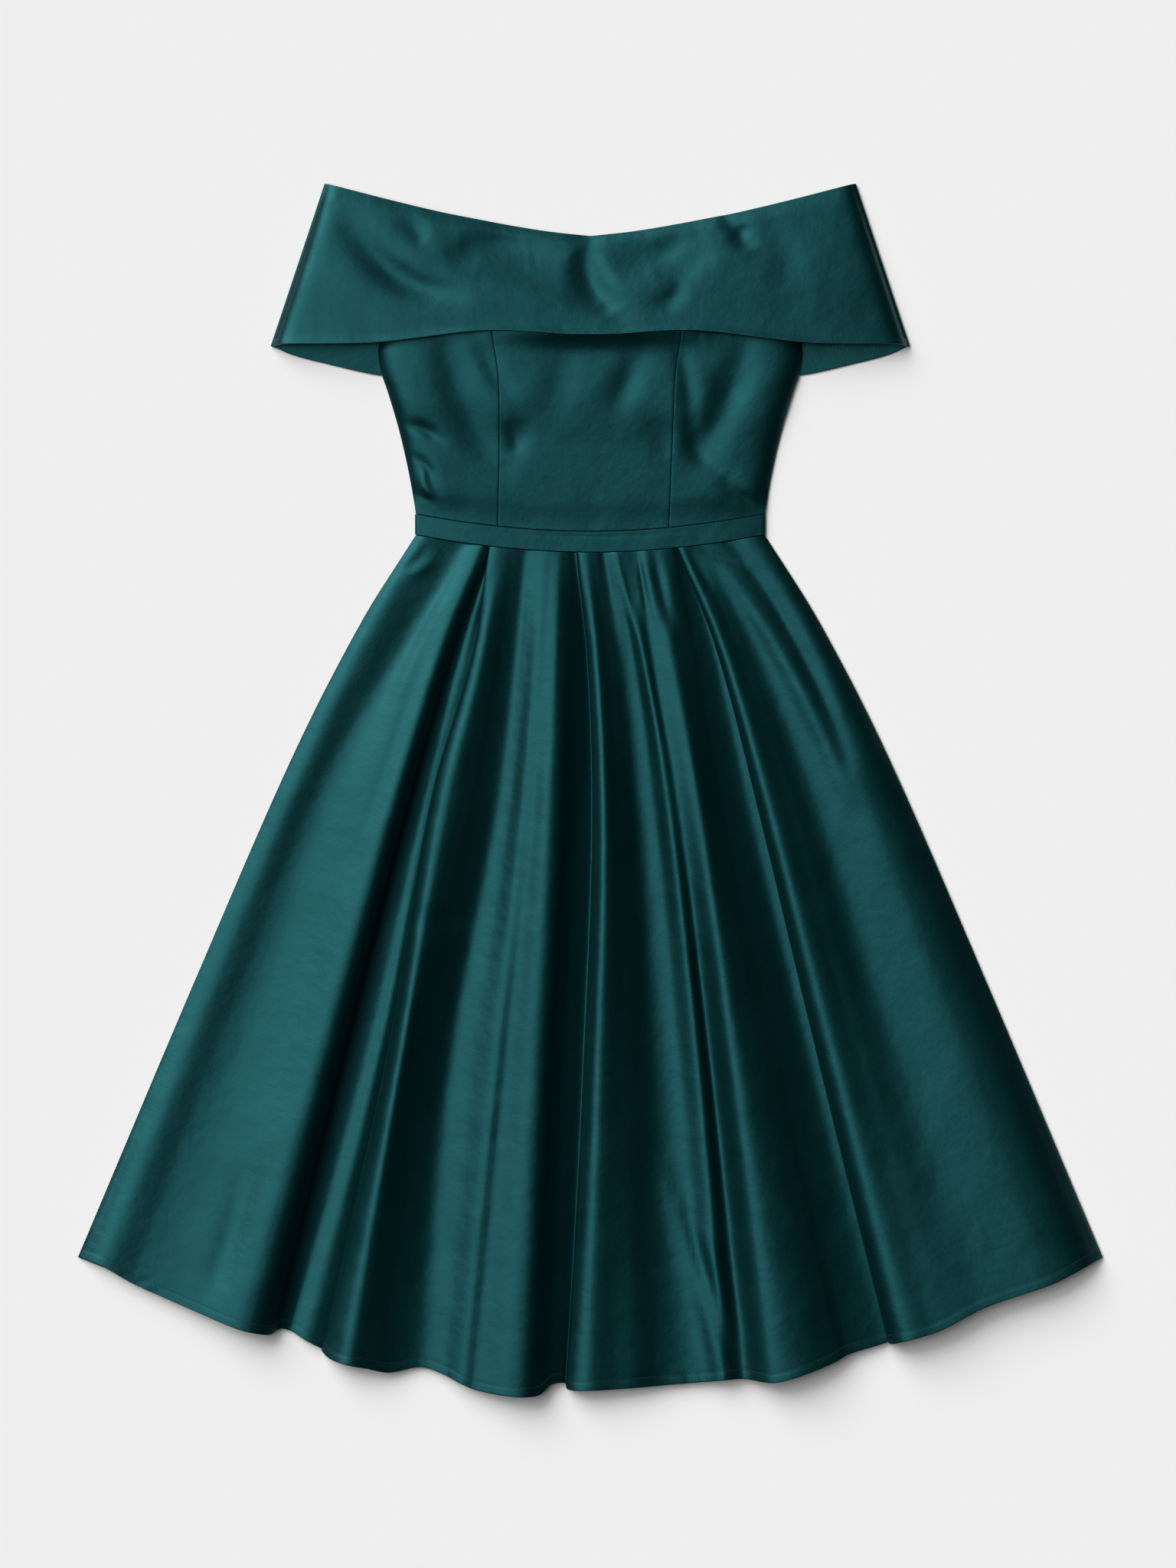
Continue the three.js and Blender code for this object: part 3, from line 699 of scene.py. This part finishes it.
    def build(self) -> list[Sheet]:
        """Lays the three panels."""
        return [
            self.panel("skirt_front_right", RIGHT_SIDE_FOLDS, (270, 760), 0.14),
            self.panel("skirt_front_centre", CENTRE_FOLDS, (700, 800), 0.36),
            self.panel("skirt_front_left", LEFT_SIDE_FOLDS, (250, 750), 0.13),
        ]


# Creases of the layers behind, which lift them off the table: for the skirt, shares and levels again
SKIRT_BACK_CREASES = (
    Crease((-0.2, 0.03), (-0.34, 0.62), 12, 14, -0.6),
    Crease((-0.52, 0.1), (-0.61, 0.9), -14, 18, -0.65),
    Crease((-0.78, 0.25), (-0.8, 0.8), 8, 15, -0.5),
    Crease((-0.42, 0.55), (-0.4, 0.97), -9, 13, -0.55),
    Crease((0.24, 0.02), (0.3, 0.7), -11, 15, -0.6),
    Crease((0.58, 0.06), (0.55, 0.84), 13, 17, -0.65),
    Crease((0.8, 0.35), (0.84, 0.93), -7, 14, -0.45),
    Crease((0.4, 0.48), (0.45, 0.96), 10, 12, -0.5),
)
BODICE_BACK_CREASES = (
    Crease((-150, 350), (-70, 300), 8, 11, -0.5),
    Crease((-158, 300), (-110, 268), 4, 8, -0.45),
    Crease((150, 330), (84, 286), -7, 10, -0.5),
    Crease((62, 372), (96, 330), 5, 9, -0.4),
)


@dataclass
class SkirtBack:
    """The back of the skirt, which lies flat on the table under the front."""

    cut: Cut
    hem_side: float = 681.0
    hem_fall: float = 112.0
    hem_power: float = 1.8
    side_margin: float = 0.08  # shares of the way in which the creases fade out at each edge
    seam_margin: float = 0.05
    waist_margin: float = 0.04
    row_steps: int = 90
    row_crowding: float = 0.7
    column_steps: int = 60
    column_crowding: float = 0.6

    def panel(self, name: str, side: Side) -> Sheet:
        """Lays the half of the back on one side of its centre seam."""
        level = shares(self.row_steps, self.row_crowding)[:, None]
        out = shares(self.column_steps, self.column_crowding)[None, :]
        share = out - 1 if side is Side.RIGHT else out
        half = through(LEVELS, SKIRT_HALF, level)
        hem = self.cut.waist_y - self.hem_side - self.hem_fall * (1 - np.abs(share) ** self.hem_power)
        top = self.cut.waist_y + self.cut.waist_dip - self.cut.seam_gap / 2
        x = share * half + (side.value * self.cut.seam_gap / 2) * (np.abs(share) < AT_SEAM)
        y = blend(top, hem, level)
        creases = SkirtFront(self.cut).creases(SKIRT_BACK_CREASES)
        clear = ease(1 - np.abs(share), 0, self.side_margin) * ease(np.abs(share), 0, self.seam_margin)
        clear = clear * ease(level, 0, self.waist_margin)
        grid = np.stack([x, y, self.cut.skin - creased(creases, x, y) * clear], axis=2)
        return Sheet(f"satin_{name}", name, grid[::-1], self.cut.cloth, (495, 790), 0.245, ("table",))

    def build(self) -> list[Sheet]:
        """Lays both halves."""
        return [self.panel("skirt_back_right", Side.RIGHT), self.panel("skirt_back_left", Side.LEFT)]


@dataclass
class Wrap:
    """A way round the body: across the front, round both side folds, and back to the centre back."""

    cut: Cut
    front_steps: int
    back_steps: int
    turn_steps: int = 8

    def stops(self) -> tuple[Grid, Grid]:
        """Gives the stops of the way round.

        Returns:
            Each stop's share of the half-width, and its layer: 1 in front, 0 at a fold, -1 behind.
        """
        back = shares(self.back_steps)
        front = 2 * shares(self.front_steps) - 1
        turn = 2 * shares(self.turn_steps)[1:-1] - 1
        share = np.concatenate([-back, -np.ones_like(turn), front, np.ones_like(turn), back[::-1]])
        layer = np.concatenate([-np.ones_like(back), turn, np.ones_like(front), -turn, -np.ones_like(back)])
        return share, layer

    def across(self, half: Grid) -> tuple[Grid, Grid]:
        """Gives where the stops lie.

        Args:
            half: the half-width at each level, as a column.

        Returns:
            The place across and the height before the front is lifted, by level and stop.
        """
        share, layer = self.stops()
        angle = layer * math.pi / 2
        x = share * (half - self.cut.turn) + np.sign(share) * self.cut.turn * np.cos(angle)
        gap = self.cut.seam_gap / 2
        x[:, 0] = -gap
        x[:, -1] = gap
        z = self.cut.double / 2 + self.cut.turn * (1 + np.sin(angle))
        return x, np.broadcast_to(z, x.shape).copy()


@dataclass
class Waistband:
    """The narrow band round the waist, cut double and open at the centre back."""

    cut: Cut
    row_steps: int = 14
    row_crowding: float = 0.6
    front_steps: int = 150
    back_steps: int = 30
    fold_line: float = 5.0  # a soft pressed line below the band's upper edge
    fold_depth: float = 0.3
    fold_width: float = 1.2
    fold_middle: float = 0.1
    fold_reach: float = 0.35

    def build(self) -> list[Sheet]:
        """Lays the band."""
        cut = self.cut
        wrap = Wrap(cut, self.front_steps, self.back_steps)
        share, layer = wrap.stops()
        level = shares(self.row_steps, self.row_crowding)[:, None]
        x, z = wrap.across(np.full_like(level, cut.waist_half))
        foot = np.where(layer > 0, cut.dip(x), cut.waist_dip) + cut.waist_y
        y = foot + blend(cut.band_height, cut.seam_gap / 2, level)
        front = layer == 1
        z += np.where(front, cut.band_top(share) - cut.band_top(1.0), 0)
        down = level * cut.band_height
        along = bell(share - self.fold_middle, self.fold_reach)
        pressed = self.fold_depth * bell(down - self.fold_line, self.fold_width) * along
        z -= np.where(front, pressed, 0)
        grid = np.stack([x, y, z], axis=2)[::-1]
        back = ("table",)
        return [Sheet("satin_waistband", "waistband", grid, cut.double, (674, 20), 0.0134, back)]


BODICE_CREASES = (
    Crease((-142, 436), (-88, 316), -7, 17, 3.4),
    Crease((-108, 436), (-76, 380), -3, 10, 1.4),
    Crease((-180, 318), (-146, 276), 6, 7, 1.8),
    Crease((-176, 300), (-150, 262), 5, 6, -1.2),
    Crease((152, 436), (96, 316), 8, 16, 3.6),
    Crease((112, 400), (150, 372), 4, 12, 1.2),
    Crease((128, 306), (166, 268), -5, 8, 1.8),
    Crease((-20, 430), (-48, 350), 5, 17, 1.2),
    Crease((50, 432), (14, 366), 5, 13, 1.4),
    Crease((-66, 362), (-78, 320), 3, 12, 1.2),
    Crease((62, 360), (72, 320), 3, 12, 1.1),
    Crease((-95, 446), (105, 446), 0, 14, -7.6),
    Crease((-180, 354), (-146, 339), 3, 6, 4),
    Crease((-174, 324), (-152, 302), 3, 5, 4),
    Crease((-162, 310), (-149, 282), -5, 5, -3.6),
    Crease((-168, 286), (-150, 270), 3, 4, 3.4),
    Crease((95, 345), (128, 306), -4, 11, 2),
    Crease((84, 436), (98, 336), 4, 9, 1.8),
    Crease((40, 410), (22, 362), 4, 11, 0.9),
    Crease((-84, 356), (-68, 326), 2, 7, 1.4),
    Crease((144, 288), (168, 272), -2, 5, 3),
)

# Half the bodice's width, how far out its princess seams run, and its swell, each at places along Y
SIDE_PLACES = (251, 267, 308, 350, 384, 409, 431, 480, 559)
SIDE_HALF = (168.5, 168.6, 175.3, 185, 195, 203, 204, 190, 166)
SEAM_PLACES = (251, 330, 400, 441, 560)
SEAM_OUT = {Side.RIGHT: (89.5, 88, 88.8, 94.7, 104), Side.LEFT: (75.7, 79, 82, 87.3, 97)}
SWELL_PLACES = (251, 310, 380, 430, 470, 531)
SWELL = (6, 8, 9.2, 8, 6, 3.4)


@dataclass
class Bodice:
    """The bodice: three panels in front, with princess seams between them, and two behind."""

    cut: Cut
    row_steps: int = 110
    crowding: float = 0.5
    column_crowding: float = 0.85
    back_steps: int = 40
    back_crowding: float = 0.6
    neck_half: float = 166.0
    head_drop: float = 4.0
    band_ease: float = 30.0
    step_from: float = 330.0
    step_to: float = 380.0
    side_power: int = 20  # the higher a power is, the nearer to the sides the swell or a crease fades
    crease_power: int = 6
    side_margin: float = 0.1  # shares of the way in which the back's creases fade out at each edge
    seam_margin: float = 0.05
    foot_margin: float = 0.1
    seam_roll: float = 0.12  # how deep a seam draws the cloth in
    seam_width: float = 0.9

    def half(self, level: Grid) -> Grid:
        """Gives half the width at each level between neckline and band."""
        side = self.y(1.0, level, self.cut.waist_y + self.cut.waist_dip)
        return through(SIDE_PLACES, SIDE_HALF, side)

    def y(self, share: Grid | float, level: Grid, foot: Grid | float) -> Grid:
        """Gives the place along Y of a share across and a level between neckline and band."""
        out = np.abs(share) * self.neck_half / self.cut.collar_top_half
        head = self.cut.neckline(out) - self.head_drop
        return blend(head, foot + self.cut.band_height + self.cut.seam_gap, level)

    def back_lift(self, y: Grid) -> Grid:
        """Gives how far the back has risen from the table onto the collar's back."""
        return (self.cut.double + self.cut.seam_gap) * ease(y, self.step_from, self.step_to)

    def seam(self, side: Side, level: Grid) -> Grid:
        """Gives the share across at which a princess seam crosses each level."""
        y = self.y(0.5, level, self.cut.waist_y + self.cut.dip(self.cut.waist_half / 2))
        return side.value * through(SEAM_PLACES, SEAM_OUT[side], y) / self.half(level)

    def height(self, share: Grid, x: Grid, y: Grid) -> Grid:
        """Gives the height of the front at each place."""
        side = self.cut.skin + self.cut.lift + self.back_lift(y)
        swell = through(SWELL_PLACES, SWELL, y)
        body = side + swell * (1 - np.abs(share) ** self.side_power)
        near = ease(y - self.cut.waist_y - self.cut.band_height - self.cut.dip(x), 0, self.band_ease)
        drop = creased(BODICE_CREASES, x, y) * near * (1 - share**self.crease_power)
        return blend(self.cut.band_top(share), body, near) - drop

    def front(self, name: str, columns: int, start: Grid, end: Grid, size: Place, area: float) -> Sheet:
        """Lays a front panel between two lines, each a share across at every level."""
        level = shares(self.row_steps, self.crowding)[:, None]
        half = self.half(level)
        gap = self.cut.seam_gap / 2 / half
        start = start + gap * (start > -1)
        end = end - gap * (end < 1)
        share = blend(start, end, shares(columns, self.column_crowding)[None, :])
        x = share * half
        y = self.y(share, level, self.cut.waist_y + self.cut.dip(share * self.cut.waist_half))
        z = self.height(share, x, y)
        for edge, seamed in ((start, start > -1), (end, end < 1)):
            z = z - self.seam_roll * bell((share - edge) * half, self.seam_width) * seamed
        grid = np.stack([x, y, z], axis=2)[::-1]
        behind = ("bodice_back_right", "bodice_back_left")
        return Sheet(f"satin_{name}", name, grid, self.cut.cloth, size, area, behind)

    def back(self, name: str, side: Side) -> Sheet:
        """Lays the half of the back on one side of its centre seam."""
        level = shares(self.row_steps, self.crowding)[:, None]
        out = shares(self.back_steps, self.back_crowding)[None, :]
        share = out - 1 if side is Side.RIGHT else out
        y = self.y(share, level, self.cut.waist_y + self.cut.waist_dip)
        x = share * self.half(level) + (side.value * self.cut.seam_gap / 2) * (np.abs(share) < AT_SEAM)
        clear = ease(1 - np.abs(share), 0, self.side_margin) * ease(np.abs(share), 0, self.seam_margin)
        clear = clear * ease(1 - level, 0, self.foot_margin)
        raised = self.back_lift(y) - creased(BODICE_BACK_CREASES, x, y) * clear
        grid = np.stack([x, y, self.cut.skin + raised], axis=2)[::-1]
        return Sheet(f"satin_{name}", name, grid, self.cut.cloth, (204, 300), 0.054, ("table", "collar"))

    def build(self) -> list[Sheet]:
        """Lays the five panels."""
        level = shares(self.row_steps, self.crowding)[:, None]
        right, left = self.seam(Side.RIGHT, level), self.seam(Side.LEFT, level)
        edge = np.ones_like(level)
        return [
            self.front("bodice_front_right", 44, -edge, right, (112, 300), 0.028),
            self.front("bodice_front_centre", 70, right, left, (195, 290), 0.049),
            self.front("bodice_front_left", 44, left, edge, (120, 300), 0.031),
            self.back("bodice_back_right", Side.RIGHT),
            self.back("bodice_back_left", Side.LEFT),
        ]


COLLAR_CREASES = (
    Crease((-243, 562), (-140, 476), -18, 16, 3.2),
    Crease((-186, 552), (-160, 526), 5, 9, 1.6),
    Crease((-128, 528), (-20, 508), 8, 15, 2.4),
    Crease((-110, 500), (10, 470), 10, 16, 2.4),
    Crease((-3, 532), (16, 472), -6, 12, 2.8),
    Crease((10, 514), (92, 530), -4, 13, 2),
    Crease((90, 492), (64, 466), 4, 10, 1.8),
    Crease((146, 546), (158, 522), -6, 10, 2.2),
    Crease((118, 524), (60, 500), 5, 13, 1.8),
    Crease((-225, 541), (-128, 478), -15, 13, 2.6),
    Crease((-140, 512), (-60, 520), 6, 14, 2.2),
    Crease((-14, 520), (26, 462), -8, 15, 3),
    Crease((20, 500), (98, 532), -5, 12, 1.6),
    Crease((126, 556), (156, 538), -5, 8, 1.5),
    Crease((172, 552), (190, 480), 6, 20, 1.6),
)

# The collar's lower edge in front and behind, by the share of the way out, and its swell by level
FRONT_OUT = (0, 0.08, 0.2, 0.3, 0.4, 0.53, 0.68, 0.85, 0.96, 1)
FRONT_EDGE = (439.6, 440, 442.6, 443.8, 442, 437, 432, 431, 431, 429.5)
BACK_OUT = (0, 0.3, 0.66, 0.84, 0.94, 1)
BACK_EDGE = (386, 390, 401, 413, 421, 429)
COLLAR_LEVELS = (0, 0.1, 0.5, 0.93, 1)
COLLAR_SWELL = (7, 10.4, 15.4, 17, 18.6)


@dataclass
class Collar:
    """The wide fold-over collar, which wraps the upper arms and hangs over the bodice."""

    cut: Cut
    row_steps: int = 64
    crowding: float = 0.5
    front_steps: int = 190
    back_steps: int = 60
    back_drop: float = 2.0
    slope_share: float = 0.4  # how much of the swell falls away slowly towards the arms
    slope_power: int = 4
    end_share: float = 0.6  # how much of it falls away at the side folds alone
    end_power: int = 60
    crease_power: int = 6

    def y(self, share: Grid, layer: Grid, level: Grid) -> Grid:
        """Gives the place along Y at each stop and level between neckline and lower edge."""
        out = np.abs(share)
        front = through(FRONT_OUT, FRONT_EDGE, out)
        behind = through(BACK_OUT, BACK_EDGE, out)
        top = self.cut.neckline(out) - np.where(layer < 0, self.back_drop, 0)
        return blend(top, np.where(layer > 0, front, behind), level)

    def build(self) -> list[Sheet]:
        """Lays the collar."""
        cut = self.cut
        wrap = Wrap(cut, self.front_steps, self.back_steps)
        share, layer = wrap.stops()
        level = shares(self.row_steps, self.crowding)[:, None]
        x, z = wrap.across(blend(cut.collar_top_half, cut.collar_low_half, level))
        y = self.y(share, layer, level)
        swell = through(COLLAR_LEVELS, COLLAR_SWELL, level)
        fall = 1 - self.slope_share * share**self.slope_power - self.end_share * share**self.end_power
        rise = swell * fall - creased(COLLAR_CREASES, x, y) * (1 - share**self.crease_power)
        z += np.where(layer == 1, rise, 0)
        grid = np.stack([x, y, z], axis=2)[::-1]
        under = ("table", "bodice_front_centre")
        return [Sheet("satin_collar", "collar", grid, cut.double, (1220, 150), 0.15, under)]


@dataclass
class HemStitches:
    """The row of machine stitches that holds the skirt's hem."""

    hem_depth: float = SkirtFront.hem_depth
    pitch: float = 3.2
    length: float = 2.5
    thickness: float = 0.7  # a thread is 0.4 mm thick, and is drawn thicker so that it shows
    look_ahead: float = 0.5  # how far along the hem a stitch looks for its direction

    def path(self, sheet: Sheet) -> tuple[Grid, Grid]:
        """Finds the stitch line on a panel.

        Args:
            sheet: the panel, rows from its hem up.

        Returns:
            Points on the upper face of the cloth, and the face's normals there.
        """
        grid = sheet.grid
        rise = np.linalg.norm(np.diff(grid, axis=0), axis=2)
        up = np.pad(np.cumsum(rise, axis=0), ((1, 0), (0, 0)))
        row = np.argmax(up > self.hem_depth, axis=0)
        column = np.arange(grid.shape[1])
        share = (self.hem_depth - up[row - 1, column]) / (up[row, column] - up[row - 1, column])
        line = blend(grid[row - 1, column], grid[row, column], share[:, None])
        along = np.gradient(line, axis=0)
        normal = np.cross(along, grid[row, column] - grid[row - 1, column])
        normal /= np.linalg.norm(normal, axis=1, keepdims=True)
        return line + normal * (sheet.thickness / 2), normal

    def build(self, sheet: Sheet, thread: bpy.types.Material) -> bpy.types.Object:
        """Models one stitch and copies it along the hem of a panel."""
        line, normal = self.path(sheet)
        run = np.pad(np.cumsum(np.linalg.norm(np.diff(line, axis=0), axis=1)), (1, 0))
        at = np.arange(self.pitch, run[-1] - self.pitch, self.pitch)
        middle = np.stack([np.interp(at, run, line[:, k]) for k in range(3)], axis=1)
        further = at + self.look_ahead
        ahead = np.stack([np.interp(further, run, line[:, k]) for k in range(3)], axis=1) - middle
        up = np.stack([np.interp(at, run, normal[:, k]) for k in range(3)], axis=1)
        bpy.ops.object.select_all(action="DESELECT")
        bpy.ops.mesh.primitive_uv_sphere_add(segments=8, ring_count=6, radius=0.5)
        stitch = bpy.context.object
        bpy.ops.object.mode_set(mode="EDIT")
        bpy.ops.transform.resize(value=(self.length, self.thickness, self.thickness))
        bpy.ops.object.mode_set(mode="OBJECT")
        copies = [stitch]
        for _ in middle[1:]:
            copy = stitch.copy()
            copy.data = stitch.data.copy()
            bpy.context.collection.objects.link(copy)
            copies.append(copy)
        for copy, here, forward, upward in zip(copies, middle, ahead, up):
            forward = forward / np.linalg.norm(forward)
            aside = np.cross(upward, forward)
            turn = np.stack([forward, aside / np.linalg.norm(aside), upward], axis=1)
            points = np.empty(len(copy.data.vertices) * 3)
            copy.data.vertices.foreach_get("co", points)
            laid = (points.reshape(-1, 3) @ turn.T + here) * MM
            copy.data.vertices.foreach_set("co", laid.ravel())
            copy.select_set(True)
        bpy.context.view_layer.objects.active = stitch
        bpy.ops.object.join()
        stitch.name = stitch.data.name = f"hem_stitches_{sheet.stands_for}"
        bpy.ops.object.shade_smooth()
        stitch.data.materials.append(thread)
        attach(stitch, "root")
        log.info("%s: %d stitches", stitch.name, len(copies))
        return stitch


@dataclass(frozen=True)
class SoftBox:
    """A wide light so far away that it falls evenly over the whole table.

    Its width is how wide it looks from the dress, its azimuth runs anticlockwise from +X as seen from
    above, and its height is above the table, all in degrees.
    """

    name: str
    strength: float
    width: float
    azimuth: float
    height: float


@dataclass
class Studio:
    """The pale table, a soft box at the upper left and one nearly overhead, and the camera straight above."""

    lens: float = 200.0
    sensor: float = 36.0
    sight: float = 100.0  # how far the camera sees, in metres
    light_distance: float = 2.0
    view_height: float = PHOTO_ROWS * MM_PER_ROW  # what the picture takes in from top to bottom
    centre: Place = (-2.2, 6.3)
    table_size: float = 9.0
    key: SoftBox = SoftBox("key_soft_box", 2.95, 48, 128, 36)
    fill: SoftBox = SoftBox("overhead_soft_box", 1.46, 46, 157, 67)
    sky_strength: float = 0.012

    def table(self) -> None:
        """Lays the background paper under the dress."""
        bpy.ops.object.select_all(action="DESELECT")
        bpy.ops.mesh.primitive_plane_add(size=self.table_size, location=(0, 0, 0))
        paper = bpy.context.object
        paper.name = paper.data.name = "table"
        paper.data.materials.append(Paper().material())

    def light(self, box: SoftBox) -> None:
        """Hangs one far soft box."""
        turn, tilt = math.radians(box.azimuth), math.radians(90 - box.height)
        far = self.light_distance
        place = (far * math.cos(turn), far * math.sin(turn), far)
        bpy.ops.object.light_add(type="SUN", location=place, rotation=(0.0, tilt, turn))
        made = bpy.context.object
        made.name = box.name
        made.data.energy = box.strength
        made.data.angle = math.radians(box.width)

    def lights(self) -> None:
        """Hangs both soft boxes in a dim even sky."""
        for box in (self.key, self.fill):
            self.light(box)
        sky = bpy.data.worlds.new("sky")
        sky.use_nodes = True
        sky.node_tree.nodes["Background"].inputs["Strength"].default_value = self.sky_strength
        sky.node_tree.nodes["Background"].inputs["Color"].default_value = (1, 1, 1, 1)
        bpy.context.scene.world = sky
        bpy.context.scene.view_settings.view_transform = "Standard"

    def camera(self) -> None:
        """Puts the camera straight above, with +Y up the picture."""
        height = self.lens * self.view_height / self.sensor * MM
        place = (self.centre[0] * MM, self.centre[1] * MM, height)
        bpy.ops.object.camera_add(location=place, rotation=(0, 0, 0))
        made = bpy.context.object
        made.name = "camera"
        made.data.lens = self.lens
        made.data.sensor_width = self.sensor
        made.data.clip_end = self.sight
        bpy.context.scene.camera = made

    def build(self) -> None:
        """Sets the table, the lights and the camera."""
        self.table()
        self.lights()
        self.camera()


def main() -> None:
    """Builds the dress piece by piece, then the studio."""
    cut = Cut()
    satin = Satin().material()
    thread = Thread().material()
    front = SkirtFront(cut).build()
    skirt = [*SkirtBack(cut).build(), *front]
    top = [*Waistband(cut).build(), *Bodice(cut).build(), *Collar(cut).build()]
    for sheet in (*skirt, *top):
        sheet.sew(satin)
    for sheet in front:
        HemStitches().build(sheet, thread)
    Studio().build()


if __name__ == "__main__":
    main()
